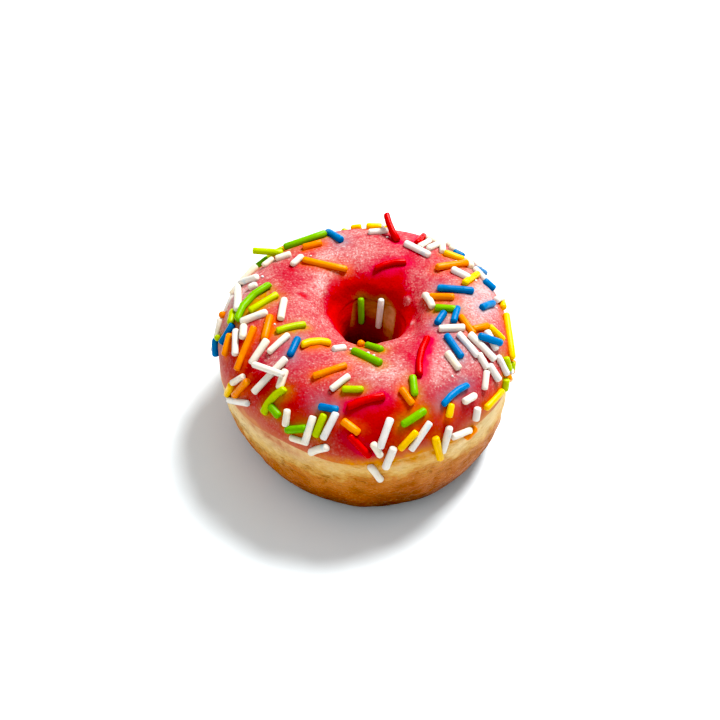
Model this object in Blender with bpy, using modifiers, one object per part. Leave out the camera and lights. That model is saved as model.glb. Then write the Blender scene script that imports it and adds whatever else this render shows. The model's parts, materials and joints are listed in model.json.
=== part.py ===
"""Sprinkle frosted ring doughnut: a raised dough ring and the coat of icing on its upper half.

Metres, +Z up. The ring stands on the plane z = 0 and its bounding box is centred on the Z axis.
A place on the ring has two angles. The azimuth runs round the hole: 0 is the front (-Y) and 90 degrees the
right (+X). The turn runs round the dough itself: 0 is the outer waist, 90 degrees the crest, 180 degrees
the wall of the hole and -90 degrees the foot. Run with: blender --background --python part.py
"""

import math

import bmesh
import bpy
from mathutils import Vector

MM = 0.001

# The dough ring. Each quarter of its cross-section is a superellipse with its own power: 2 is round,
# more is squarer.
OUTER_RADIUS = 39.6 * MM
CREST_RADIUS = 23.5 * MM
HOLE_RADIUS = 7.7 * MM
HEIGHT = 38.2 * MM
WAIST_HEIGHT = 20.5 * MM
POWER_OUTER_TOP = 2.25
POWER_INNER_TOP = 2.45
POWER_INNER_FOOT = 2.3
POWER_OUTER_FOOT = 2.35
FOOT_SAG = 1.1 * MM  # how far the round underside would reach below the table, had it not gone flat

# Hand-made unevenness: (bulges round the ring, size, azimuth of one bulge in degrees).
WAIST_BULGES = ((1, 0.5 * MM, -70), (2, 1.4 * MM, 5), (3, 0.6 * MM, 20), (5, 0.3 * MM, 70))
FOOT_BULGES = ((1, 0.4, 20),)  # added to the power of the outer foot
HOLE_BULGES = ((2, 0.5 * MM, 60), (3, 0.35 * MM, 100))
CREST_BULGES = ((1, 0.4 * MM, 160), (3, 0.35 * MM, 40), (4, 0.25 * MM, 100))

# The icing. Its edges are turns in degrees, and they wander with the azimuth.
ICING_THICKNESS = 1.1 * MM
ICING_EDGE_SHARE = 0.3  # the edge's thickness, as a share of the full thickness
ICING_TAPER = 0.16  # the share of the coat's width over which each edge thins out
ICING_GAP = 0.3 * MM
OUTER_EDGE_TURN = 4.0
OUTER_EDGE_WAVES = ((1, 5.5, 20), (2, 3.0, 20), (5, 1.5, 30), (9, 1.0, 12))
INNER_EDGE_TURN = 150.0
INNER_EDGE_WAVES = ((1, 7.0, -50), (2, 3.0, 100), (3, 2.0, 40), (7, 0.8, 10))

RING_STEPS = 80
DOUGH_STEPS = 28
COAT_STEPS = 16


def waves(azimuth, terms):
    """The sum of some cosine bulges round the ring."""
    return sum(size * math.cos(count * (azimuth - math.radians(peak))) for count, size, peak in terms)


def bent(value, power):
    """A cosine or sine raised to the power that turns a circle into a superellipse."""
    return math.copysign(abs(value) ** (2 / power), value)


def section(azimuth, turn):
    """The dough's surface at two angles, as (radius, height)."""
    along, up = math.cos(turn), math.sin(turn)
    if along >= 0:
        reach = OUTER_RADIUS - CREST_RADIUS + waves(azimuth, WAIST_BULGES)
        power = POWER_OUTER_TOP if up >= 0 else POWER_OUTER_FOOT + waves(azimuth, FOOT_BULGES)
    else:
        reach = CREST_RADIUS - HOLE_RADIUS - waves(azimuth, HOLE_BULGES)
        power = POWER_INNER_TOP if up >= 0 else POWER_INNER_FOOT
    rise = HEIGHT - WAIST_HEIGHT + waves(azimuth, CREST_BULGES) if up >= 0 else WAIST_HEIGHT + FOOT_SAG
    return CREST_RADIUS + reach * bent(along, power), max(0.0, WAIST_HEIGHT + rise * bent(up, power))


def on_ring(azimuth, turn, lift=0.0):
    """The point at two angles, lifted off the dough along the cross-section's normal."""
    radius, height = section(azimuth, turn)
    if lift:
        step = math.radians(1)
        ahead, behind = section(azimuth, turn + step), section(azimuth, turn - step)
        tangent = Vector((ahead[0] - behind[0], ahead[1] - behind[1])).normalized()
        radius += lift * tangent.y
        height -= lift * tangent.x
    return Vector((radius * math.sin(azimuth), -radius * math.cos(azimuth), height))


def angles_on(torus_vertex):
    """The azimuth and the turn of a vertex of the unit torus."""
    x, y, z = torus_vertex.co
    return math.atan2(x, -y), math.atan2(z, math.hypot(x, y) - 1)


def unit_torus(name, turn_steps):
    """A torus with a main radius of 1, whose vertices the two angles can be read from."""
    bpy.ops.mesh.primitive_torus_add(
        major_segments=RING_STEPS, minor_segments=turn_steps, major_radius=1, minor_radius=0.5
    )
    torus = bpy.context.object
    torus.name = torus.data.name = name
    return torus


def make_dough():
    """The whole dough ring, flat where it stands."""
    dough = unit_torus("dough_ring", DOUGH_STEPS)
    for vertex in dough.data.vertices:
        vertex.co = on_ring(*angles_on(vertex))
    return dough


def coat_edges(azimuth):
    """The turns at which the icing starts, on the outside, and ends, in the hole."""
    outer = OUTER_EDGE_TURN + waves(azimuth, OUTER_EDGE_WAVES)
    inner = INNER_EDGE_TURN + waves(azimuth, INNER_EDGE_WAVES)
    return math.radians(outer), math.radians(inner)


def make_icing():
    """A sheet that covers the crown between the two wandering edges, thickened outwards."""
    icing = unit_torus("icing", 2 * COAT_STEPS)
    mesh = bmesh.new()
    mesh.from_mesh(icing.data)
    under = [vertex for vertex in mesh.verts if vertex.co.z < -0.01]
    bmesh.ops.delete(mesh, geom=under, context="VERTS")
    mesh.to_mesh(icing.data)
    mesh.free()

    thickness = icing.vertex_groups.new(name="thickness")
    for vertex in icing.data.vertices:
        azimuth, turn = angles_on(vertex)
        share = min(abs(turn) / math.pi, 1.0)  # 0 at the outer edge and 1 at the edge in the hole
        outer, inner = coat_edges(azimuth)
        from_edge = min(min(share, 1 - share) / ICING_TAPER, 1.0)
        smooth = from_edge * from_edge * (3 - 2 * from_edge)
        thickness.add([vertex.index], ICING_EDGE_SHARE + (1 - ICING_EDGE_SHARE) * smooth, "REPLACE")
        vertex.co = on_ring(azimuth, outer + share * (inner - outer), ICING_GAP)

    solid = icing.modifiers.new("thickness", "SOLIDIFY")
    solid.thickness = ICING_THICKNESS
    solid.offset = 1
    solid.vertex_group = thickness.name
    return icing


def centre(parts):
    """Moves the parts together so that the bounding box is centred on the Z axis."""
    bpy.context.view_layer.update()
    graph = bpy.context.evaluated_depsgraph_get()
    corners = [Vector(corner) for part in parts for corner in part.evaluated_get(graph).bound_box]
    for axis in range(2):
        places = [corner[axis] for corner in corners]
        middle = (min(places) + max(places)) / 2
        for part in parts:
            for vertex in part.data.vertices:
                vertex.co[axis] -= middle


def finish(part, colour, roughness):
    """Smooth shading and a plain Principled material."""
    part.data.shade_smooth()
    material = bpy.data.materials.new(part.name)
    material.use_nodes = True
    shader = material.node_tree.nodes["Principled BSDF"]
    shader.inputs["Base Color"].default_value = (*colour, 1)
    shader.inputs["Roughness"].default_value = roughness
    part.data.materials.append(material)


def main():
    for old in list(bpy.data.objects):
        bpy.data.objects.remove(old)
    doughnut = bpy.data.collections.new("doughnut")
    bpy.context.scene.collection.children.link(doughnut)

    dough, icing = make_dough(), make_icing()
    centre([dough, icing])
    finish(dough, (0.55, 0.27, 0.07), 0.6)
    finish(icing, (0.80, 0.12, 0.14), 0.35)
    for part in (dough, icing):
        for home in list(part.users_collection):
            home.objects.unlink(part)
        doughnut.objects.link(part)


main()
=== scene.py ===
# %% [markdown]
# # Sprinkle frosted doughnut
#
# A raised ring doughnut has three things to show: the fried dough, a thin sugar icing on its upper half,
# and the sugar sprinkles that stuck to the icing while it was wet. The dough and the icing come from the
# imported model, which fixes their place and size. This script gives them a finer skin and their colours,
# and it adds the sprinkles.

# %% Load the frame
import json
import math
import random

import bmesh
import bpy
import numpy as np
from mathutils import Matrix, Vector, noise
from mathutils.bvhtree import BVHTree


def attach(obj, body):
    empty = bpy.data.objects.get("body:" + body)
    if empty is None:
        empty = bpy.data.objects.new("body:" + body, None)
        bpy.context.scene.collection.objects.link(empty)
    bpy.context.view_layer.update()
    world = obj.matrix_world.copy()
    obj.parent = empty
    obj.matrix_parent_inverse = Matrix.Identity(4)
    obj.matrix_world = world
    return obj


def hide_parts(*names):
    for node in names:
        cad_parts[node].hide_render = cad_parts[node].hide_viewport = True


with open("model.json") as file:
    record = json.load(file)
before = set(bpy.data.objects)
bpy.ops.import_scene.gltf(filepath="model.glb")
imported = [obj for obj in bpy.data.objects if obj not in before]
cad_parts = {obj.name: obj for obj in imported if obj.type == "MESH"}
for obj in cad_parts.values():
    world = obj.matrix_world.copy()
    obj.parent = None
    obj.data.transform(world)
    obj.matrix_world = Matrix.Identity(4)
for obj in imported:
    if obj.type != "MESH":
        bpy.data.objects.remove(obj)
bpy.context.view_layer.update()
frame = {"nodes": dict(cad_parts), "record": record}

MM = 0.001

# %% [markdown]
# ## Two angles instead of three coordinates
#
# A baker would point at a doughnut with two words: how far round the ring, and how far round the dough.
# The azimuth runs round the hole: 0 is the front and 90 degrees the right. The turn runs round the dough
# itself, about a circle in its middle: 0 is the outer waist, 90 degrees the crest and 180 degrees the hole.
# Every sprinkle and every patch of colour below is placed with these two angles, so that it lies on the
# dough whatever the dough's shape is.

# %% The ring's own angles
hole = frame["record"]["physics"]["openings"][0]["box_m"]
AXIS = Vector(((hole[0][0] + hole[1][0]) / 2, (hole[0][1] + hole[1][1]) / 2, 0))
CORE_RADIUS = 23.5 * MM
CORE_HEIGHT = 20 * MM
REACH = 24 * MM  # a ray from here always starts in the air, in the hole too


def on_core(azimuth):
    """The point of the circle in the middle of the dough at an azimuth in degrees."""
    angle = math.radians(azimuth)
    return AXIS + Vector((CORE_RADIUS * math.sin(angle), -CORE_RADIUS * math.cos(angle), CORE_HEIGHT))


def outward(azimuth, turn):
    """The direction from the middle of the dough to its skin."""
    round_hole, round_dough = math.radians(azimuth), math.radians(turn)
    flat = math.cos(round_dough)
    return Vector((flat * math.sin(round_hole), -flat * math.cos(round_hole), math.sin(round_dough)))


def angles_of(points):
    """The azimuths and the turns of an array of points, in degrees."""
    east, south, up = points[:, 0] - AXIS.x, AXIS.y - points[:, 1], points[:, 2] - CORE_HEIGHT
    out = np.hypot(east, south) - CORE_RADIUS
    return np.degrees(np.arctan2(east, south)), np.degrees(np.arctan2(up, out))


print("hole axis, mm:", [round(value / MM, 2) for value in AXIS[:2]])

# %% [markdown]
# ## Studio
#
# The doughnut stands on a plain white table. One lamp stands behind it to the right, high up and quite
# small, so that the shadow falls to the front left with a soft rim. A large white card in front and an
# even white sky fill the shadow.

# %% Camera
scene = bpy.context.scene
scene.view_settings.view_transform = "Standard"
scene.view_settings.use_curve_mapping = True
scene.view_settings.curve_mapping.black_level = (0.03, 0.03, 0.03)
scene.view_settings.curve_mapping.update()

ELEVATION = math.radians(44)
DISTANCE = 380 * MM
view_up = Vector((0, math.sin(ELEVATION), math.cos(ELEVATION)))
view_back = Vector((0, -math.cos(ELEVATION), math.sin(ELEVATION)))
aim = Vector((-1.07 * MM, 0, 18 * MM)) + 1.74 * MM * view_up

camera_data = bpy.data.cameras.new("camera")
camera_data.sensor_width = 36
camera_data.lens = 71.06
camera = bpy.data.objects.new("camera", camera_data)
camera.location = aim + DISTANCE * view_back
camera.rotation_euler = (math.pi / 2 - ELEVATION, 0, 0)
scene.collection.objects.link(camera)
scene.camera = camera
print("camera at, mm:", [round(value / MM) for value in camera.location])

# %% Lamp and sky
LAMP_DIRECTION = Vector((0.365, 0.385, 0.86)).normalized()
LAMP_DISTANCE = 1.0
LAMP_WIDTH, LAMP_POWER = 0.36, 17.0
CARD_DIRECTION = Vector((-0.45, -0.75, 0.5)).normalized()
CARD_WIDTH, CARD_POWER = 1.4, 3.4
SKY_STRENGTH = 0.53


def add_lamp(name, direction, width, power):
    """A round lamp that faces the doughnut from a metre away."""
    data = bpy.data.lights.new(name, "AREA")
    data.shape = "DISK"
    data.size = width
    data.energy = power
    lamp = bpy.data.objects.new(name, data)
    lamp.location = LAMP_DISTANCE * direction
    lamp.rotation_euler = direction.to_track_quat("Z", "Y").to_euler()
    lamp.visible_camera = False
    scene.collection.objects.link(lamp)


add_lamp("lamp", LAMP_DIRECTION, LAMP_WIDTH, LAMP_POWER)
add_lamp("white card", CARD_DIRECTION, CARD_WIDTH, CARD_POWER)

sky = bpy.data.worlds.new("white studio")
sky.use_nodes = True
sky.node_tree.nodes["Background"].inputs["Color"].default_value = (1, 1, 1, 1)
sky.node_tree.nodes["Background"].inputs["Strength"].default_value = SKY_STRENGTH
scene.world = sky
print("lamp elevation:", round(math.degrees(math.asin(LAMP_DIRECTION.z))), "degrees")

# %% [markdown]
# ## Colours and nodes
#
# Colours are written as the hex values that a paint program shows, and one function turns them to the
# linear light that Blender works in. A second function adds any shader node with its settings and links.

# %% Helpers for materials
MIX_FACTOR, MIX_A, MIX_B = 0, 6, 7  # the sockets of a Mix node that mixes colours


def linear(hex_colour):
    """A linear RGBA colour from an sRGB hex value."""
    parts = [int(hex_colour[start:start + 2], 16) / 255 for start in (1, 3, 5)]
    return (*(part / 12.92 if part <= 0.04045 else ((part + 0.055) / 1.055) ** 2.4 for part in parts), 1)


def add(tree, kind, inputs=None, stops=None, output=None, **settings):
    """Adds a node, and returns the named output, or else the first one in use.

    Inputs are values, or outputs to link. Stops are a ramp's places and colours.
    """
    node = tree.nodes.new(kind)
    for name, value in settings.items():
        setattr(node, name, value)
    for socket, value in (inputs or {}).items():
        if isinstance(value, bpy.types.NodeSocket):
            tree.links.new(value, node.inputs[socket])
        else:
            node.inputs[socket].default_value = value
    for count, (place, colour) in enumerate(stops or ()):
        ramp = node.color_ramp.elements
        stop = ramp[count] if count < len(ramp) else ramp.new(place)
        stop.position, stop.color = place, linear(colour)
    return node.outputs[output] if output else next(socket for socket in node.outputs if socket.enabled)


def new_material(name):
    """A new Principled material, with its node tree and its shader."""
    material = bpy.data.materials.new(name)
    material.use_nodes = True
    return material, material.node_tree, material.node_tree.nodes["Principled BSDF"]


print("mid grey is", round(linear("#808080")[0], 3), "in linear light")

# %% [markdown]
# ## Table
#
# The table is a sheet of matt white paper, much wider than the view. It belongs to the studio and not to
# the doughnut, so it is staged and isn't part of the model.

# %% The table
bpy.ops.mesh.primitive_plane_add(size=6)
table = bpy.context.object
table.name = "table"
paper, tree, shader = new_material("matt white paper")
shader.inputs["Base Color"].default_value = linear("#ECF3F6")
shader.inputs["Roughness"].default_value = 0.9
shader.inputs["Specular IOR Level"].default_value = 0.1
table.data.materials.append(paper)
print("table:", round(table.dimensions.x, 1), "m wide")

# %% [markdown]
# ## A finer skin
#
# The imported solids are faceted. Rising dough has no facets, so each solid is copied, its loose triangles
# are merged back into a net of quads, and Subdivision Surface rounds that net off. The result becomes a
# plain mesh, because the next steps move its points one by one.

# %% Copy a solid as a smooth net
def smooth_copy(node, name, levels):
    """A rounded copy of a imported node, as a new object that stands for it."""
    net = bmesh.new()
    net.from_mesh(frame["nodes"][node].data)
    bmesh.ops.remove_doubles(net, verts=net.verts, dist=0.002 * MM)
    bmesh.ops.join_triangles(
        net, faces=net.faces, angle_face_threshold=math.radians(60), angle_shape_threshold=math.radians(60)
    )
    cage = bpy.data.meshes.new(name)
    net.to_mesh(cage)
    net.free()
    piece = bpy.data.objects.new(name, cage)
    scene.collection.objects.link(piece)

    rounding = piece.modifiers.new("rounding", "SUBSURF")
    rounding.levels = rounding.render_levels = levels
    graph = bpy.context.evaluated_depsgraph_get()
    fine = bpy.data.meshes.new_from_object(piece.evaluated_get(graph))
    piece.modifiers.clear()
    piece.data = fine
    fine.shade_smooth()
    bpy.data.meshes.remove(cage)
    fine.name = name
    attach(piece, "root")
    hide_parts(node)
    quads = sum(len(face.vertices) == 4 for face in fine.polygons)
    print(name, "has", len(fine.polygons), "faces, quads:", quads)
    return piece


dough = smooth_copy("dough_ring", "fried_dough_ring", 2)
icing = smooth_copy("icing", "sugar_icing", 2)

# %% [markdown]
# ## Finding the skin
#
# Everything that lies on the doughnut needs to know where its skin is. A ray shot from the air towards the
# middle of the dough finds it at any two angles.

# %% Rays to the skin
def points_of(mesh):
    """A mesh's points as an array of one row each."""
    flat = np.empty(3 * len(mesh.vertices), np.float32)
    mesh.vertices.foreach_get("co", flat)
    return flat.reshape(-1, 3).astype(float)


def skin_of(*pieces):
    """A search tree over the faces of some pieces, for rays."""
    points, faces = [], []
    for piece in pieces:
        start = len(points)
        points += [vertex.co for vertex in piece.data.vertices]
        faces += [[start + corner for corner in face.vertices] for face in piece.data.polygons]
    return BVHTree.FromPolygons(points, faces)


def skin_distance(skin, azimuth, turn):
    """How far the skin is from the middle of the dough, in the direction of two angles."""
    direction = outward(azimuth, turn)
    hit = skin.ray_cast(on_core(azimuth) + REACH * direction, -direction)
    return REACH - hit[3] if hit[0] else 0.0


print("crest in front, mm:", round(skin_distance(skin_of(dough), 0, 90) / MM, 1), "above the core")

# %% [markdown]
# ## Dough
#
# The dough puffs up in the hot fat and sets with soft lumps. Where its two fried halves meet, round the
# waist, a pale band stays that the fat hardly reached. Its skin is drawn together there in low wrinkles
# that run round the ring.

# %% Lumps and wrinkles
def relief(place, size, seed):
    """Smooth noise from about -1 to 1, with bumps about as wide as size."""
    return noise.noise(place / size + Vector((seed, 0, 0)))


def skin_points(piece):
    """Copies of a piece's points and normals, read before any point moves."""
    return [(vertex.co.copy(), vertex.normal.copy()) for vertex in piece.data.vertices]


def set_points(piece, points):
    """Moves all of a piece's points at once."""
    piece.data.vertices.foreach_set("co", [value for point in points for value in point])
    piece.data.update()


WAIST_BAND = (5 * MM, 21 * MM)  # the heights between which the skin wrinkles
WAIST_MIDDLE = sum(WAIST_BAND) / 2
WAIST_HALF = (WAIST_BAND[1] - WAIST_BAND[0]) / 2
CREASE_FLATNESS = 3.5  # how much longer a crease is round the ring than up the dough
CREASE_WIDTH = 0.17  # of the noise's swing
CREASE_DEPTH = 0.6  # in millimetres


def crease(place):
    """1 in the line of a crease in the waist, and 0 away from it."""
    band = max(0.0, 1 - ((place.z - WAIST_MIDDLE) / WAIST_HALF) ** 2)
    flat_place = Vector((place.x, place.y, CREASE_FLATNESS * place.z))
    winding = abs(relief(flat_place, 13 * MM, 21) + 0.35 * relief(flat_place, 4 * MM, 30))
    return math.sqrt(band) * max(0.0, 1 - winding / CREASE_WIDTH)



def dough_lift(place):
    """How far a point of the dough is lifted, in metres."""
    lump = 0.40 * relief(place, 11 * MM, 3) + 0.16 * relief(place, 4 * MM, 8)
    grounded = min(1.0, place.z / (3 * MM))  # the foot stays flat on the table
    return MM * grounded * (lump - CREASE_DEPTH * crease(place))


print("waist wrinkles from", round(WAIST_BAND[0] / MM), "to", round(WAIST_BAND[1] / MM), "mm up")

# %% [markdown]
# The dough also swells into the hole, more in some places than in others. Each swell is a soft patch with
# an azimuth, a turn, how far it spreads in both, and its height in millimetres. The colours below are laid
# on in patches of the same kind, so one function adds them all up.

# %% Swells in the hole
SWELLS = (
    (-75, 150, 42, 28, 1.8), (18, 140, 45, 25, 2.1), (-30, 140, 22, 20, 0.9), (92, 160, 40, 28, 2.0),
)


def painted(patches, azimuths, turns):
    """The sum of some soft patches at each point."""
    total = np.zeros(len(azimuths))
    for azimuth, turn, width, height, strength in patches:
        across = (azimuths - azimuth + 180) % 360 - 180
        total += strength * np.exp(-(across / width) ** 2 - ((turns - turn) / height) ** 2)
    return total


def ring_angles(piece):
    """The azimuths and turns of a piece's points. In the hole the turns run on past 180 degrees."""
    azimuths, turns = angles_of(points_of(piece.data))
    return azimuths, np.where(turns < -90, turns + 360, turns)


crease_shade = [crease(place) for place, _ in skin_points(dough)]
swells = MM * painted(SWELLS, *ring_angles(dough))
lifts = [dough_lift(place) + float(swell) for (place, _), swell in zip(skin_points(dough), swells)]
set_points(dough, [place + lift * normal for (place, normal), lift in zip(skin_points(dough), lifts)])
print("dough, mm:", [round(side / MM, 1) for side in dough.dimensions])

# %% [markdown]
# ## Icing
#
# The icing is a thin sugar glaze. The doughnut is dipped in it upside down, and it runs out to a film with
# no step at its edge. In the solid it floats a little above the dough and ends in a step, so its points are
# set anew: the lower ones go just into the dough, and the upper ones keep their distance in the middle of
# the coat and come down to almost nothing at the edge.

# %% Lay the icing on the dough
dough_skin = skin_of(dough)
EDGE_HEIGHT, FULL_HEIGHT = 0.62 * MM, 1.35 * MM  # how far the solid's skin is from the dough
FILM_HEIGHT = 0.10 * MM  # what is left of that at the edge
SUNK = 0.25 * MM  # how far the coat's lower side goes into the dough


def angles_at(place):
    """The azimuth and the turn of one point, in degrees."""
    azimuth, turn = angles_of(np.array([place]))
    return float(azimuth[0]), float(turn[0])


def lay_on_dough(place, normal):
    """The new place of a point of the icing, and how thin the coat is there: 1 is a film."""
    azimuth, turn = angles_at(place)
    direction, core = outward(azimuth, turn), on_core(azimuth)
    ground = skin_distance(dough_skin, azimuth, turn)
    height = (place - core).length - ground
    full = min(max((height - EDGE_HEIGHT) / (FULL_HEIGHT - EDGE_HEIGHT), 0.0), 1.0)
    if normal.dot(direction) <= 0:
        return core + (ground - SUNK) * direction, 1.0
    height = FILM_HEIGHT + full * (height - FILM_HEIGHT)
    height += full * MM * (0.10 * relief(place, 5 * MM, 50) + 0.05 * relief(place, 2 * MM, 60))
    return core + (ground + height) * direction, 1 - full


laid = [lay_on_dough(*point) for point in skin_points(icing)]
set_points(icing, [place for place, _ in laid])
film = np.array([thinness for _, thinness in laid])
print("icing points near an edge:", int(sum(film > 0.5)))

# %% [markdown]
# A few flat bubbles of air were caught under the glaze, most of them near the hole. They are given by an
# azimuth, a turn and a radius in millimetres, and the points over them rise in a low dome.

# %% Bubbles under the glaze
BUBBLES = ((124, 129, 2.1), (86, 131, 1.6), (47, 122, 1.4), (112, 115, 0.7), (-30, 119, 1.0))
BUBBLE_RISE = 0.3 * MM


def in_bubbles(points):
    """1 in the middle of each bubble, down to 0 at its rim."""
    total = np.zeros(len(points))
    for azimuth, turn, radius in BUBBLES:
        height = skin_distance(dough_skin, azimuth, turn) + FULL_HEIGHT
        top = on_core(azimuth) + height * outward(azimuth, turn)
        gap = np.linalg.norm(points - np.array(top), axis=1) / (radius * MM)
        total += np.clip(2 - 2 * gap ** 2, 0, 1)
    return total


rises = BUBBLE_RISE * in_bubbles(points_of(icing.data))
domed = [place + float(rise) * normal for (place, normal), rise in zip(skin_points(icing), rises)]
set_points(icing, domed)
print("icing points over bubbles:", int(sum(rises > 0)))

# %% [markdown]
# ## Sprinkles
#
# Sugar sprinkles are pressed from a nozzle as strings of sugar paste about 1.9 mm thick, dried and broken,
# so they are short rods of uneven length with blunt, slightly rounded ends, and some are bent. Each row
# gives the azimuth and turn of the two ends. A fifth number is the bend in millimetres, and the last two
# are how far each end stands off the icing where a sprinkle lies on others.

# %% Where each sprinkle lies
WHITE_ROWS = (
    (-130, 64, -135, 70), (-129, 82, -137, 81), (-106, 63, -107.5, 67), (-114, 44, -113, 64),
    (-113, 42, -91, 59, 0.3), (-106, 22, -115, 32), (-98, 30, -91, 10, 0, 0, 1),
    (-82, 62.5, -82.5, 81),
    (-93, 94, -76, 90.5), (-79, 63, -73, 60), (-79, 56, -69, 49), (-63, 74, -59, 56), (-60.5, 89.5, -57, 71),
    (-56, 57, -41, 64, 0, 1.2, 1.9), (-46.5, 75, -49, 42), (-62.5, 31.5, -58.5, 43.5), (-65, 7, -51.5, 29),
    (-33, 43.5, -32, 33), (-22, 45.5, -22.5, 27.5, 0, 0, 1.5), (-13.5, 52, -16.5, 33.5), (-18, 70, -12, 82),
    (7.3, 49.3, 3.3, 31.2), (1, 33, 3.3, 24), (7.7, 28.3, 5.2, 12), (0, 13, 3.5, -2), (21.5, 42, 14, 26),
    (38.5, 46, 44, 45.2), (43.3, 34.5, 42, 27), (29, 33, 26, 14), (30.7, 23.5, 38.4, 20),
    (-21, 17, -15, 26.5, 0.3), (63, 100, 69.8, 85.6), (109, 114, 91, 111.5, 0.3), (74, 68, 69, 56.5),
    (63.3, 85.5, 57.5, 66), (58.8, 65, 57, 55), (66, 78.5, 63, 54), (66.5, 51.5, 66, 35),
    (59, 53.5, 59.2, 40.5), (55.4, 52.5, 50.3, 44.3), (69.5, 30, 71.5, 28), (101, 57, 110, 36, 0, 0, 1.5),
    (122, 83, 113, 76.5), (149.3, 81.5, 148.5, 69), (144.5, 79.5, 144, 66), (157.5, 83.5, 141, 85.5),
    (139.5, 59, 134.5, 56), (121, 61.5, 113.3, 58), (131, 48, 126, 46), (179.5, 74, 171.3, 70),
    (161, 136, 160, 160), (-31, 108.5, -26.5, 117), (-147, 42, -151, 46),
)
CREAM_ROWS = (
    (-124, 58, -129, 60), (-113, 30, -125, 46), (-43, 68, -40.5, 56), (-29, 24, -22.5, 25.5),
    (46.8, 81.6, 44.8, 68.7), (138, 73.5, 143.3, 62), (151, 63, 144.5, 63), (144, 50, 138, 48),
    (128, 60, 123, 64), (175, 56, 172.3, 60),
)
BLUE_ROWS = (
    (-83.5, 53.5, -81, 39), (-90, 24, -86, 15, 0, 0.3, 0.3), (-55, 94, -48, 80.5), (-20.5, 54.5, -13.5, 55),
    (29.7, 51, 43, 54.5, 0.6), (58.3, 92.3, 51, 74.2), (86, 93, 74, 93.7), (80.3, 102.6, 69.5, 104.8),
    (66.6, 71.8, 71.5, 56, 0, 1.3, 1.3), (90, 74, 96.5, 63), (109.5, 102.5, 101.5, 79.5),
    (135, 64, 131.5, 60),
    (123, 44, 121.5, 60), (112.5, 60, 110.5, 52.5), (-160.5, 60.5, -163.3, 81),
)
GREEN_ROWS = (
    (-140, 54, -158, 65, -0.7, 0.3, 0.4), (-124, 40, -131, 48), (-105, 80, -84, 60, -2.0, 0.3, 0.3),
    (-40, 40, -36, 37),
    (-31, 29.5, -24, 36.5), (12, 45, 21, 51), (21.5, 76.5, 19.3, 64), (88, 108, 85.3, 95),
    (-167, 136, -164, 157), (-15, 114, 6.3, 96.5), (-4, 128, 10.5, 115),
)
LIME_ROWS = (
    (-128, 48, -135, 60, 0, 3.9, 0), (-133, 38, -139, 50), (-87, 70, -97.5, 87.5), (-92.5, 53.5, -86, 52),
    (-93, 20, -86.5, 33), (-66.5, 85, -66.5, 105, 0.3), (-38, 56, -42, 33.5, -0.9), (-18, 49, -19.5, 34),
    (-12.5, 71, -4, 72), (70.5, 43, 69.3, 34), (64.3, 31, 63, 24), (75, 30, 74, 26),
)
ORANGE_ROWS = (
    (-138, 44, -147, 48), (-144, 72, -152, 76), (-136, 85.5, -157, 111), (-119, 36, -126, 42),
    (-78.5, 83, -65.5, 74), (-73.5, 70.5, -62.5, 44), (-80, 49.5, -74.5, 39), (-104, 24, -99, 34),
    (-59.5, 24, -55, 44), (-29, 76, -16, 92.5), (-10, 47.5, -4.5, 41), (14.5, 69, 17, 58), (37, 14, 41.5, 17),
    (103.8, 110.5, 97.3, 95.4), (78.5, 89.5, 68.7, 77), (71.5, 78, 78, 69), (128, 92, 124.6, 67),
    (77, 28, 73, 24), (67.5, 29, 70, 22), (-13.5, 130, -9, 150),
)
YELLOW_ROWS = (
    (-48.3, 93, -39.5, 112, 1.1), (-67, 10, -63, 28.5), (10.2, 28, 16, 38), (32.3, 48, 30, 42),
    (48, 29.5, 59.3, 28.3), (23.3, 28.5, 25, 8), (78.3, 66.5, 77, 53.4), (95, 48, 75.5, 35),
    (108.5, 82.5, 116.5, 65), (136, 73.6, 128.8, 65.4), (109.5, 39, 100.5, 47), (180.5, 59, 175, 59),
    (171.5, 52, 171.5, 64), (-176, 50, -173, 48),
)
RED_ROWS = (
    (-8.5, 58, 5.5, 66, 0.4), (-7, 38, -0.5, 24), (49.5, 103, 25.7, 77, -0.9), (152.3, 78.5, 153.5, 62),
    (163.6, 80.5, 171.5, 69.5, 0.5, 0, 4.5), (173, 113.5, 151, 102.5, 0.7),
)
rows = {
    "white": WHITE_ROWS + CREAM_ROWS, "blue": BLUE_ROWS, "green": GREEN_ROWS, "lime": LIME_ROWS,
    "orange": ORANGE_ROWS, "yellow": YELLOW_ROWS, "red": RED_ROWS,
}
print("sprinkles in front:", {colour: len(lines) for colour, lines in rows.items()})

# %% [markdown]
# The flank behind and the wall of the hole in front are strewn as thickly, by chance. A new sprinkle is
# dropped only where its middle is clear of the others' middles, so their ends may still run into each
# other. The chance is seeded, so it falls the same each run.

# %% Strew the far flank
chance = random.Random(11)
BEHIND = (108, 252)  # azimuths, past 180 degrees
NEAR_WALL = (-48, 52)
MIX = ("white",) * 5 + ("orange",) * 2 + ("yellow",) * 2 + ("blue",) * 2 + ("green", "lime", "lime", "red")
HALF_LENGTHS = (2.2, 4.2)  # of a sprinkle, in millimetres
ROUND = 17  # from the middle of the dough to its skin, in millimetres


def middle_of(row):
    """The place half way between a row's two ends, on a round dough."""
    azimuth, turn = (row[0] + row[2]) / 2, (row[1] + row[3]) / 2
    return on_core(azimuth) + CORE_HEIGHT * outward(azimuth, turn)


def skyline(azimuth):
    """The turn that the front view's skyline has at an azimuth behind, in degrees."""
    return math.degrees(math.atan(-math.cos(math.radians(azimuth)) / math.tan(ELEVATION)))


taken = [middle_of(row) for lines in rows.values() for row in lines]


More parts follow.
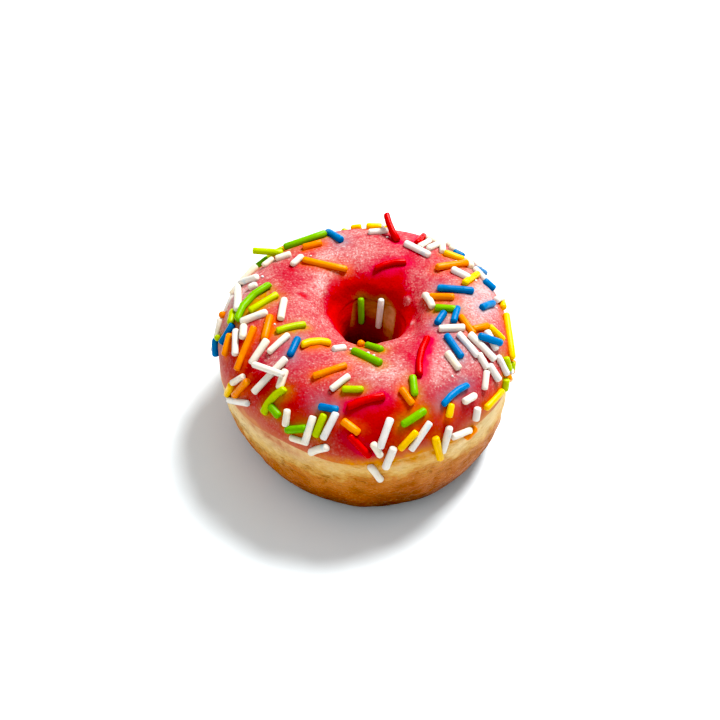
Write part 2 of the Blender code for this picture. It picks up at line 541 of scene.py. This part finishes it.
def strew(tries, azimuths, turns, clear):
    """Drops sprinkles between two azimuths and two turns, where there is room and the front can't see."""
    for _ in range(tries):
        azimuth, turn = chance.uniform(*azimuths), chance.uniform(*turns)
        heading, half = chance.uniform(0, math.pi), chance.uniform(*HALF_LENGTHS)
        ring = CORE_RADIUS / MM + ROUND * math.cos(math.radians(turn))
        across = math.degrees(half * math.cos(heading) / ring)
        along = math.degrees(half * math.sin(heading) / ROUND)
        ends = (azimuth - across, turn - along, azimuth + across, turn + along)
        row = tuple(round(value, 1) for value in ends)
        place, colour = middle_of(row), chance.choice(MIX)
        out_of_sight = turn > 90 or turn + along < skyline(azimuth) - 8
        if out_of_sight and min((place - other).length for other in taken) > clear * MM:
            rows[colour] += (row,)
            taken.append(place)


strew(160, BEHIND, (3, 42), 3.5)
strew(10, NEAR_WALL, (158, 168), 4.0)
print("sprinkles in all:", sum(len(lines) for lines in rows.values()))

# %% [markdown]
# A rod starts as a cone with two equal ends. Its long edges are cut in three so that it can bend, and its
# rims are bevelled. Each is a few dozen faces, because there are well over a hundred of them. It is then
# laid between its two ends, and lifted until no part of its middle line is too deep in the icing. It isn't
# kept clear of other rods: where one should lie on another, its row gives the lift.

# %% One rod
noise.seed_set(5)  # without it, noise_vector takes its start from the clock
ROD_SIDES = 9
ROD_THICKNESS = 1.9 * MM
LIE_HEIGHT = 0.55 * MM  # of a rod's middle line above the skin, so that the rod sits in the icing a little
LEAST_HEIGHT = 0.35 * MM


def make_rod(length, thickness, bend, rim):
    """A rod along Z about the origin, bent towards X."""
    rod = bmesh.new()
    radius = thickness / 2
    bmesh.ops.create_cone(
        rod, cap_ends=True, segments=ROD_SIDES, radius1=radius, radius2=radius, depth=length
    )
    rims = [edge for edge in rod.edges if abs(edge.verts[0].co.z - edge.verts[1].co.z) < 0.1 * length]
    sides = [edge for edge in rod.edges if edge not in rims]
    bmesh.ops.subdivide_edges(rod, edges=sides, cuts=2, use_grid_fill=True)
    rims = [edge for edge in rod.edges if all(abs(end.co.z) > 0.49 * length for end in edge.verts)]
    bmesh.ops.bevel(
        rod, geom=rims, offset=rim * radius, segments=2, profile=0.5, affect="EDGES", material=-1,
        clamp_overlap=True,
    )
    for vertex in rod.verts:
        share = 2 * vertex.co.z / length
        vertex.co.x += bend * (1 - share * share)
    return rod


skin = skin_of(dough, icing)


def above(point):
    """How far a point is above the skin, negative inside."""
    place, normal, _, distance = skin.find_nearest(point)
    return math.copysign(distance, (point - place).dot(normal))


def lay_rod(row):
    """The two ends of a sprinkle's middle line."""
    first_azimuth, first_turn, last_azimuth, last_turn, _, first_lift, last_lift = row
    ends = []
    rests = ((first_azimuth, first_turn, first_lift), (last_azimuth, last_turn, last_lift))
    for azimuth, turn, lift in rests:
        height = skin_distance(skin, azimuth, turn) + LIE_HEIGHT + lift * MM
        ends.append(on_core(azimuth) + height * outward(azimuth, turn))
    middle = outward((first_azimuth + last_azimuth) / 2, (first_turn + last_turn) / 2)
    lowest = min(above(ends[0].lerp(ends[1], share)) for share in (0.1, 0.3, 0.5, 0.7, 0.9))
    rise = max(0.0, LEAST_HEIGHT - lowest)
    return [end + rise * middle for end in ends]


print("a rod has", len(make_rod(6 * MM, ROD_THICKNESS, 0, 0.5).faces), "faces")

# %% [markdown]
# The rods of one colour are joined, because they share a material. Each keeps a tone of its own, stored on
# its points, so that no two look quite the same.

# %% Join the rods of each colour
lines_laid = {}


def make_sprinkles(colour):
    """All sprinkles of one colour as one piece, with a tone from 0 to 1 for each rod."""
    joined = bmesh.new()
    tone_layer = joined.verts.layers.float.new("tone")
    lines_laid[colour] = []
    for row in rows[colour]:
        full_row = (*row, 0, 0, 0)[:7]
        thickness = ROD_THICKNESS * chance.uniform(0.90, 1.08)
        start, end = lay_rod(full_row)
        axis = end - start
        length = axis.length + 0.5 * thickness
        rod = make_rod(length, thickness, full_row[4] * MM, chance.uniform(0.35, 0.7))
        up = (start + end) / 2 - on_core(full_row[0])
        z_axis = axis.normalized()
        x_axis = up.cross(z_axis).normalized()
        turn_to = Matrix((x_axis, z_axis.cross(x_axis), z_axis)).transposed().to_4x4()
        bmesh.ops.transform(rod, matrix=Matrix.Translation((start + end) / 2) @ turn_to, verts=rod.verts)
        for vertex in rod.verts:
            vertex.co += 0.08 * MM * noise.noise_vector(vertex.co / (2.5 * MM))
        part = bpy.data.meshes.new("rod")
        rod.to_mesh(part)
        rod.free()
        before = len(joined.verts)
        joined.from_mesh(part)
        bpy.data.meshes.remove(part)
        joined.verts.ensure_lookup_table()
        tone = 1.0 if row in CREAM_ROWS else chance.uniform(0, 0.8)
        for vertex in joined.verts[before:]:
            vertex[tone_layer] = tone
        lines_laid[colour].append((start, end))
    mesh = bpy.data.meshes.new(colour + "_sprinkles")
    joined.to_mesh(mesh)
    joined.free()
    mesh.shade_smooth()
    piece = bpy.data.objects.new(mesh.name, mesh)
    scene.collection.objects.link(piece)
    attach(piece, "root")
    print(piece.name, len(rows[colour]), "rods,", len(mesh.polygons), "faces")
    return piece


sprinkles = {colour: make_sprinkles(colour) for colour in rows}

# %% [markdown]
# Where sprinkles broke, small crumbs of white sugar paste lie between them. A crumb is a little ball of
# few faces with its points pushed about. Each row is an azimuth, a turn and a width in millimetres.

# %% Sugar crumbs
CRUMBS = (
    (-115, 67, 0.8), (-76, 79, 0.7), (-73, 85, 0.6), (-2, 113, 1.0), (3, 108, 0.8), (128, 73, 0.9),
    (-66, 75, 0.5), (-88, 74, 0.5), (-55, 58, 0.5), (40, 66, 0.6), (112, 70, 0.6), (-142, 84, 0.6),
    (-20, 120, 0.9), (148, 70, 0.7), (96, 58, 0.6), (170, 78, 0.6),
)


def make_crumbs():
    """All crumbs as one piece."""
    joined = bmesh.new()
    for azimuth, turn, width in CRUMBS:
        height = skin_distance(skin, azimuth, turn) + 0.15 * width * MM
        place = on_core(azimuth) + height * outward(azimuth, turn)
        ball = bmesh.ops.create_icosphere(
            joined, subdivisions=2, radius=width * MM / 2, matrix=Matrix.Translation(place)
        )
        for vertex in ball["verts"]:
            vertex.co += 0.22 * width * MM * noise.noise_vector(vertex.co / (0.6 * MM))
    mesh = bpy.data.meshes.new("sugar_crumbs")
    joined.to_mesh(mesh)
    joined.free()
    mesh.shade_smooth()
    piece = bpy.data.objects.new(mesh.name, mesh)
    scene.collection.objects.link(piece)
    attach(piece, "root")
    print(piece.name, len(CRUMBS), "crumbs,", len(mesh.polygons), "faces")
    return piece


crumbs = make_crumbs()

# %% [markdown]
# ## Colour in the icing
#
# The glaze is dyed red, and it isn't even. Where it ran together it is deep red and clear: in the mouth of
# the hole and low in front. Where it is thin it looks salmon pink, and where sugar crystallised on it there
# is a white bloom; on the crest round the hole that pale bloom is partly a painted sheen of the lamp. One
# number for each point, its depth, stands for all of that: 0 is white bloom and painted sheen, and 1 the
# deepest red. Each patch is an azimuth, a turn, how far it spreads in both, and what it adds.

# %% Patches of deep red, and of white bloom that is partly painted sheen
PLAIN_DEPTH = 0.42
MOUTH_DEPTH = 0.5
BUBBLE_DEPTH = 0.5
# negative patches on the crest round the hole are partly painted sheen, paler where the highlight falls
PATCHES = (
    (2, 47, 15, 20, 0.55), (-12, 60, 10, 10, 0.20), (-34, 48, 16, 16, 0.34), (20, 44, 10, 14, 0.25),
    (34, 40, 14, 14, 0.36), (-60, 45, 16, 14, 0.26), (-72, 58, 8, 10, 0.18), (-52, 82, 14, 12, 0.14),
    (47, 56, 8, 8, 0.14), (-112, 93, 12, 9, 0.16), (28, 94, 5, 12, 0.32), (160, 106, 16, 7, 0.30),
    (150, 96, 5, 10, 0.25), (-106, 106, 2.5, 4, 0.55), (-78, 88, 4, 4, 0.35), (-70, 79, 3, 4, 0.3),
    (-126, 84, 8, 6, 0.2), (10, 56, 5, 7, 0.2), (64, 60, 3, 4, 0.3), (118, 98, 2.5, 3, 0.3),
    (-105, 112, 25, 10, -0.12), (-172, 102, 30, 9, -0.14), (-140, 108, 18, 7, -0.16),
    (12, 88, 18, 12, -0.22), (40, 78, 14, 12, -0.20),
    (-18, 98, 14, 8, -0.10), (80, 84, 24, 20, -0.24), (100, 72, 20, 14, -0.20), (-170, 88, 24, 10, -0.10),
    (-30, 112, 12, 7, -0.14), (-50, 68, 7, 6, -0.22), (-106, 44, 22, 24, -0.28), (-168, 70, 14, 8, -0.16),
    (-150, 92, 7, 7, -0.22), (8, 74, 8, 7, -0.15), (52, 62, 9, 8, -0.18), (-128, 113, 7, 5, -0.2),
    (100, 156, 30, 14, -0.3),
    (116, 56, 18, 18, -0.22), (-70, 128, 30, 7, -0.10), (0, 130, 60, 10, -0.06),
)
MOUTH_BLUR = 11  # over how many degrees of turn it deepens
MOUTH_EDGE = (  # where the deep red starts in the mouth of the hole, as an azimuth and a turn
    (-180, 117), (-150, 115), (-135, 118), (-120, 124), (-105, 131), (-75, 142), (-60, 149), (-40, 158),
    (-15, 165), (15, 165), (35, 152), (60, 141), (75, 141), (90, 136), (108, 127), (122, 125), (136, 119),
    (150, 109), (165, 114), (180, 117),
)


def past_line(line, azimuths, turns, width):
    """How far the points are past a line of azimuths and turns: 0 before it and 1 past it."""
    return np.clip((turns - np.interp(azimuths, *zip(*line))) / width + 0.5, 0, 1)


def give_attribute(piece, name, values):
    """Stores one number for each point."""
    layer = piece.data.attributes.new(name, "FLOAT", "POINT")
    layer.data.foreach_set("value", np.clip(values, 0, 1).astype(np.float32))
    print(f"{name}: mean {float(np.mean(values)):.2f}, highest {float(np.max(values)):.2f}")


def give_depth(piece):
    """Gives a piece the depth of its glaze, and returns the angles of its points."""
    azimuths, turns = ring_angles(piece)
    mouth = past_line(MOUTH_EDGE, azimuths, turns, MOUTH_BLUR)
    depth = PLAIN_DEPTH + painted(PATCHES, azimuths, turns) + MOUTH_DEPTH * mouth
    give_attribute(piece, "depth", depth - BUBBLE_DEPTH * in_bubbles(points_of(piece.data)))
    return azimuths, turns


azimuths, turns = give_depth(icing)
give_attribute(icing, "film", film * (turns < 90))
give_attribute(icing, "low", (55 - turns) / 35)

# %% [markdown]
# In the hole the icing soaks into the dough. This line is where the red ends: it runs deepest on the left.
# Below it the wall of the hole is brown, and paler on the right, where the fat hardly reached it. Two
# more sets of patches follow the outer rim: amber, where clear yellow syrup ran out, and salmon.

# %% Where the red ends in the hole
SOAK_BLUR = 7
SOAK_EDGE = (
    (-180, 133), (-165, 131), (-157, 136), (-150, 148), (-138, 165), (-110, 185), (-60, 195), (0, 195),
    (60, 190), (95, 178), (110, 164), (120, 152), (132, 141), (146, 135), (160, 131), (180, 133),
)
PALE_WALLS = ((155, 146, 30, 12, 0.5), (130, 158, 20, 30, 1.0), (-148, 150, 7, 13, 1.0))
# painted light: patches where walls of the hole that lie in shade are coloured a brighter clear red
PAINTED_LIGHT_WALLS = (  # clear red with light behind it
    (75, 138, 30, 14, 0.3), (110, 126, 50, 14, 0.3), (-160, 145, 40, 22, 0.35), (-110, 140, 40, 20, 0.15),
)
AMBER_EDGES = ((0, 14, 16, 5, 1.0), (22, 17, 13, 5, 1.3), (48, 20, 14, 4, 0.6))  # under thin, yellow syrup
SALMON_EDGES = ((-40, 7, 17, 7, 1.0), (-62, 9, 10, 5, 0.5))  # under a thin film of the glaze

dough_azimuths, dough_turns = give_depth(dough)
for piece, round_hole, round_dough in ((icing, azimuths, turns), (dough, dough_azimuths, dough_turns)):
    inside = (round_dough > 100) * (round_dough < 250)
    give_attribute(piece, "bare_wall", past_line(SOAK_EDGE, round_hole, round_dough, SOAK_BLUR) * inside)
    give_attribute(piece, "pale_wall", painted(PALE_WALLS, round_hole, round_dough))
    give_attribute(piece, "painted_light", painted(PAINTED_LIGHT_WALLS, round_hole, round_dough))
    give_attribute(piece, "amber", painted(AMBER_EDGES, round_hole, round_dough))
    give_attribute(piece, "salmon", painted(SALMON_EDGES, round_hole, round_dough))
give_attribute(dough, "in_hole", (dough_turns > 110) * (dough_turns < 250))

# %% [markdown]
# The dye of a sprinkle bleeds into the wet icing. Round yellow, orange and green ones the red turns
# orange, round blue ones greyish, and red ones leave magenta streaks. White ones have no dye.

# %% Dye that bled from the sprinkles
DYES = (  # a name, the sprinkles it comes from, how far it bleeds, its strength and its colour on the red
    ("blue_dye", ("blue",), 1.6 * MM, 0.65, "#80808C"),
    ("green_dye", ("green", "lime"), 1.1 * MM, 1.0, "#AE7800"),
    ("orange_dye", ("orange", "yellow"), 1.0 * MM, 1.0, "#CC5600"),
    ("red_dye", ("red",), 1.4 * MM, 1.4, "#B80038"),
)
icing_points = points_of(icing.data)


def bled(colours, reach):
    """How strongly the dye of some colours reaches each point of the icing."""
    nearest = np.full(len(icing_points), 1.0)
    for start, end in (line for colour in colours for line in lines_laid[colour]):
        first, along = np.array(start), np.array(end - start)
        share = np.clip((icing_points - first) @ along / (along @ along), 0, 1)
        gap = np.linalg.norm(icing_points - first - share[:, None] * along, axis=1) - ROD_THICKNESS / 2
        nearest = np.minimum(nearest, np.maximum(gap, 0))
    return np.exp(-nearest / reach)


for name, colours, reach, _, _ in DYES:
    give_attribute(icing, name, bled(colours, reach))

# %% [markdown]
# ### Sugar glaze
#
# Icing sugar and water set to a mass of fine crystals in syrup. Light goes into it and comes out again
# close by, so it glows softly, and it has hardly any gloss, because the crystals at its surface scatter the
# light. They show as a fine pale grain wherever the syrup between them is red. The dough in the hole soaks
# up the same glaze, so its colour is made by a function that the dough uses too.

# %% Grain, layers and the glaze's colour
def grain(tree, size, detail, lowest, highest, spread=0.2, squash=1):
    """Noise with spots about as wide as size, as a number that mostly lies between lowest and highest."""
    place = add(tree, "ShaderNodeTexCoord", output="Object")
    place = add(tree, "ShaderNodeMapping", {"Vector": place, "Scale": (1, 1, squash)})
    spots = add(tree, "ShaderNodeTexNoise", {"Vector": place, "Scale": 1 / size, "Detail": detail})
    limits = {"From Min": 0.5 - spread, "From Max": 0.5 + spread, "To Min": lowest, "To Max": highest}
    return add(tree, "ShaderNodeMapRange", {"Value": spots, **limits})


def stored(tree, name, strength=1.0, size=2 * MM):
    """A number that the piece stores for each point, made a little patchy."""
    number = add(tree, "ShaderNodeAttribute", output="Fac", attribute_name=name)
    patchy = grain(tree, size, 3.0, 0.55 * strength, 1.25 * strength)
    return add(tree, "ShaderNodeMath", {0: number, 1: patchy}, operation="MULTIPLY", use_clamp=True)


def layered(tree, colour, layers):
    """Lays colours over a first one, each as strong as its mask."""
    for mask, hex_colour in layers:
        inputs = {MIX_FACTOR: mask, MIX_A: colour, MIX_B: linear(hex_colour)}
        colour = add(tree, "ShaderNodeMix", inputs, data_type="RGBA")
    return colour


print("noise and layers are ready")

# %% [markdown]
# Crystals make the glaze's depth smaller in pale dots, and one ramp turns the depth to a colour, from white
# bloom, on the crest partly painted sheen, through salmon to deep red.

# %% Crystals and the glaze's colour
CRYSTAL_SIZE = 0.55 * MM  # real sugar crystals are under 0.1 mm, so these are drawn coarser to show


def crystals(tree):
    """Small pale dots, 1 in their middles and 0 between them, more of them in some places."""
    place = add(tree, "ShaderNodeTexCoord", output="Object")
    cell = add(tree, "ShaderNodeTexVoronoi", {"Vector": place, "Scale": 1 / CRYSTAL_SIZE}, output="Distance")
    dot = add(
        tree, "ShaderNodeMapRange",
        {"Value": cell, "From Min": 0.15, "From Max": 0.55, "To Min": 1.0, "To Max": 0.0},
    )
    crowd = grain(tree, 1.1 * MM, 3.0, 0.0, 1.0)
    return add(tree, "ShaderNodeMath", {0: dot, 1: crowd}, operation="MULTIPLY")


def glaze_colour(tree):
    """From white bloom and painted sheen through salmon to deep red, with crystals, and painted light in the
    hole.
    """
    depth = add(tree, "ShaderNodeAttribute", output="Fac", attribute_name="depth")
    for size, detail, swing in ((5 * MM, 4.0, 0.09), (1.3 * MM, 4.0, 0.07), (0.6 * MM, 3.0, 0.14)):
        depth = add(tree, "ShaderNodeMath", {0: depth, 1: grain(tree, size, detail, -swing, swing)})
    paler = add(tree, "ShaderNodeMath", {0: crystals(tree), 1: 0.34}, operation="MULTIPLY")
    depth = add(tree, "ShaderNodeMath", {0: depth, 1: paler}, operation="SUBTRACT")
    # the palest stop is white bloom, and on the crest partly a painted highlight
    stops = (
        (0.0, "#C6A8A6"), (0.12, "#BC8684"), (0.28, "#B25E5C"), (0.45, "#AA3440"), (0.62, "#A81028"),
        (0.8, "#B0000A"), (1.0, "#A60000"),
    )
    colour = add(tree, "ShaderNodeValToRGB", {"Fac": depth}, stops=stops)
    # painted light: the walls of the hole that lie in shade get a brighter clear red
    return layered(tree, colour, ((stored(tree, "painted_light", 0.9), "#E40A24"),))


def wall_colour(tree):
    """The bare wall of the hole."""
    brown = layered(tree, linear("#8A4A1C"), ((stored(tree, "pale_wall", 1.0, 6 * MM), "#CC946C"),))
    return layered(tree, brown, ((grain(tree, 1.2 * MM, 4.0, -0.2, 0.25), "#7A3A10"),))


print("crystals are drawn", round(CRYSTAL_SIZE / MM, 2), "mm wide")

# %% Sugar glaze
def sugar_glaze():
    """Red sugar glaze with bled dye, thin at its edges."""
    material, tree, shader = new_material("red sugar glaze")
    colour = layered(tree, glaze_colour(tree), ((stored(tree, "low", 0.5, 4 * MM), "#B04A14"),))
    colour = layered(tree, colour, [(stored(tree, dye[0], dye[3]), dye[4]) for dye in DYES])
    film_depth = add(tree, "ShaderNodeAttribute", output="Fac", attribute_name="film")
    for start, end, tint in ((0.3, 0.9, "#B8664C"), (0.9, 1.02, "#D0965C")):
        limits = {"From Min": start, "From Max": end, "To Min": 0.0, "To Max": 0.85}
        thin = add(tree, "ShaderNodeMapRange", {"Value": film_depth, **limits})
        colour = layered(tree, colour, ((thin, tint),))
    colour = layered(tree, colour, (
        (stored(tree, "salmon", 0.9), "#BC7048"), (stored(tree, "amber", 1.0), "#CE840C"),
    ))
    bare = add(tree, "ShaderNodeAttribute", output="Fac", attribute_name="bare_wall")
    inputs = {MIX_FACTOR: bare, MIX_A: colour, MIX_B: wall_colour(tree)}
    tree.links.new(add(tree, "ShaderNodeMix", inputs, data_type="RGBA"), shader.inputs["Base Color"])

    relief_inputs = {"Height": grain(tree, 1.8 * MM, 3.0, 0, 1), "Strength": 0.3, "Distance": 0.3 * MM}
    coarse = add(tree, "ShaderNodeBump", relief_inputs)
    relief_inputs = {"Height": crystals(tree), "Strength": 0.35, "Distance": 0.12 * MM}
    fine = add(tree, "ShaderNodeBump", {**relief_inputs, "Normal": coarse})
    tree.links.new(fine, shader.inputs["Normal"])
    shader.inputs["Roughness"].default_value = 0.6
    shader.inputs["IOR"].default_value = 1.5
    shader.inputs["Specular IOR Level"].default_value = 0.14
    shader.inputs["Subsurface Weight"].default_value = 0.3
    shader.inputs["Subsurface Radius"].default_value = (1.0, 0.3, 0.3)
    shader.inputs["Subsurface Scale"].default_value = 0.8 * MM
    return material


icing.data.materials.clear()
icing.data.materials.append(sugar_glaze())

# %% [markdown]
# ### Fried dough
#
# Hot fat browns the dough where it touches it: almost black-brown under the rim, golden on the flank and
# pale cream at the waist that floated above the fat. The colour follows the height, and noise makes its
# limits wander. Thin creases wind round the waist, and their lines are painted darker, as shade in the
# folds. The crumb is matt, with a trace of oil.

# %% How brown the dough is
def pale_limit(azimuths):
    """The height above which the waist stayed pale."""
    angle = np.radians(azimuths)
    limit = 14.6 + 3 * np.cos(angle - math.radians(20)) + 2 * np.cos(2 * (angle - math.radians(15)))
    return MM * (limit + 0.9 * np.cos(4 * (angle + math.radians(5))))


LIMIT_SHARE = 0.25  # how brown the dough is at that height
BROWNING_DEPTH = 22 * MM
heights = points_of(dough.data)[:, 2]
# the crease attribute carries painted shade for the creases of the skin
give_attribute(dough, "crease", np.array(crease_shade))
give_attribute(dough, "wrinkled", 1.3 - ((heights - WAIST_MIDDLE) / WAIST_HALF) ** 2)
give_attribute(dough, "browning", LIMIT_SHARE + (pale_limit(dough_azimuths) - heights) / BROWNING_DEPTH)

# %% Fried dough
def crease_lines(tree):
    """Thin winding lines, 1 in the middle of each, mostly level round the dough."""
    value = grain(tree, 8 * MM, 3.0, -1.0, 1.0, spread=0.25, squash=3.2)
    value = add(tree, "ShaderNodeMath", {0: value}, operation="ABSOLUTE")
    limits = {"From Min": 0.0, "From Max": 0.08, "To Min": 1.0, "To Max": 0.0}
    line = add(tree, "ShaderNodeMapRange", {"Value": value, **limits})
    zone = add(tree, "ShaderNodeAttribute", output="Fac", attribute_name="wrinkled")
    broken = grain(tree, 5 * MM, 2.0, -0.4, 1.0)
    line = add(tree, "ShaderNodeMath", {0: line, 1: zone}, operation="MULTIPLY", use_clamp=True)
    return add(tree, "ShaderNodeMath", {0: line, 1: broken}, operation="MULTIPLY", use_clamp=True)


def fried_dough():
    """Browned by height, with painted shade in creases, darker blisters, pale specks and glaze soaked in at
    the hole.
    """
    material, tree, shader = new_material("fried dough")
    browning = add(tree, "ShaderNodeAttribute", output="Fac", attribute_name="browning")
    wander = grain(tree, 7 * MM, 6.0, -0.10, 0.10)
    fibres = grain(tree, 1.6 * MM, 5.0, -0.05, 0.05, squash=2.0)
    browning = add(tree, "ShaderNodeMath", {0: browning, 1: wander})
    browning = add(tree, "ShaderNodeMath", {0: browning, 1: fibres})
    stops = (
        (0.0, "#E4C68C"), (0.15, "#DAB066"), (0.24, "#CA9242"), (0.30, "#C0762E"), (0.45, "#B46622"),
        (0.62, "#A05212"), (0.78, "#703404"), (0.95, "#4A1E00"),
    )
    colour = add(tree, "ShaderNodeValToRGB", {"Fac": browning}, stops=stops)
    colour = layered(tree, colour, (
        (grain(tree, 2.4 * MM, 5.0, -0.35, 0.12, squash=2), "#A4601A"),
        # painted shade: crease lines and creases are coloured darker brown, as shade in the folds
        (crease_lines(tree), "#945414"),
        (stored(tree, "crease", 0.5), "#96520E"),
        (grain(tree, 0.7 * MM, 3.0, -0.4, 0.2, squash=1.6), "#E8BC7C"),
        (stored(tree, "salmon", 0.9), "#BC7048"), (stored(tree, "amber", 1.0), "#CE840C"),
    ))
    for name, over in (("in_hole", glaze_colour(tree)), ("bare_wall", wall_colour(tree))):
        mask = add(tree, "ShaderNodeAttribute", output="Fac", attribute_name=name)
        inputs = {MIX_FACTOR: mask, MIX_A: colour, MIX_B: over}
        colour = add(tree, "ShaderNodeMix", inputs, data_type="RGBA")
    tree.links.new(colour, shader.inputs["Base Color"])

    in_hole = add(tree, "ShaderNodeAttribute", output="Fac", attribute_name="in_hole")
    # the glaze that soaked into the wall of the hole evens out its bumps
    calm = add(tree, "ShaderNodeMapRange", {"Value": in_hole, "To Min": 0.6, "To Max": 0.2})
    lumps = grain(tree, 3.5 * MM, 3.0, 0, 1, squash=2.5)
    coarse = add(tree, "ShaderNodeBump", {"Height": lumps, "Strength": calm, "Distance": 0.8 * MM})
    crumb = grain(tree, 0.7 * MM, 4.0, 0, 1, squash=1.6)
    relief_inputs = {"Height": crumb, "Strength": calm, "Distance": 0.25 * MM}
    fine = add(tree, "ShaderNodeBump", {**relief_inputs, "Normal": coarse})
    relief_inputs = {"Height": crease_lines(tree), "Strength": 0.8, "Distance": 0.3 * MM, "Normal": fine}
    folded = add(tree, "ShaderNodeBump", relief_inputs, invert=True)
    tree.links.new(folded, shader.inputs["Normal"])
    shader.inputs["Roughness"].default_value = 0.55
    shader.inputs["Specular IOR Level"].default_value = 0.2
    shader.inputs["Subsurface Weight"].default_value = 0.15
    shader.inputs["Subsurface Radius"].default_value = (1.0, 0.5, 0.25)
    shader.inputs["Subsurface Scale"].default_value = 1.5 * MM
    return material


dough.data.materials.clear()
dough.data.materials.append(fried_dough())

# %% [markdown]
# ### Sugar paste
#
# The rods are dyed sugar paste with a thin shellac polish: an even colour with a soft sheen, a little
# paler or deeper from rod to rod. White ones take up traces of their neighbours' dye.

# %% Sugar paste
PASTE_COLOURS = {
    "white": ("#DCD8D4", "#DED2B8", "#B6CCD4"), "blue": ("#0072B0", "#005C98", "#1C80B4"),
    "green": ("#74AE00", "#5C9A00", "#88B818"), "lime": ("#B2C200", "#9CB400", "#C0C620"),
    "orange": ("#E68800", "#DC7400", "#E89C20"), "yellow": ("#E8BC00", "#E0A800", "#E8C830"),
    "red": ("#C4060A", "#AC0004", "#C81C22"),
}


def sugar_paste(colour_name):
    """Polished sugar paste in one colour, a little different from rod to rod."""
    first, second, stain = PASTE_COLOURS[colour_name]
    material, tree, shader = new_material(colour_name + " sugar paste")
    colour = layered(tree, linear(first), (
        (stored(tree, "tone", 1.0, 1.5 * MM), second), (grain(tree, 3 * MM, 2.0, -2.2, 0.7), stain),
    ))
    tree.links.new(colour, shader.inputs["Base Color"])
    relief_inputs = {"Height": grain(tree, 0.5 * MM, 2.0, 0, 1), "Strength": 0.3, "Distance": 0.1 * MM}
    tree.links.new(add(tree, "ShaderNodeBump", relief_inputs), shader.inputs["Normal"])
    shader.inputs["Roughness"].default_value = 0.4
    shader.inputs["Specular IOR Level"].default_value = 0.18
    shader.inputs["Subsurface Weight"].default_value = 0.2
    shader.inputs["Subsurface Radius"].default_value = (1.0, 0.8, 0.6)
    shader.inputs["Subsurface Scale"].default_value = 0.5 * MM
    return material


for colour_name, piece in sprinkles.items():
    piece.data.materials.append(sugar_paste(colour_name))
crumbs.data.materials.append(sprinkles["white"].data.materials[0])
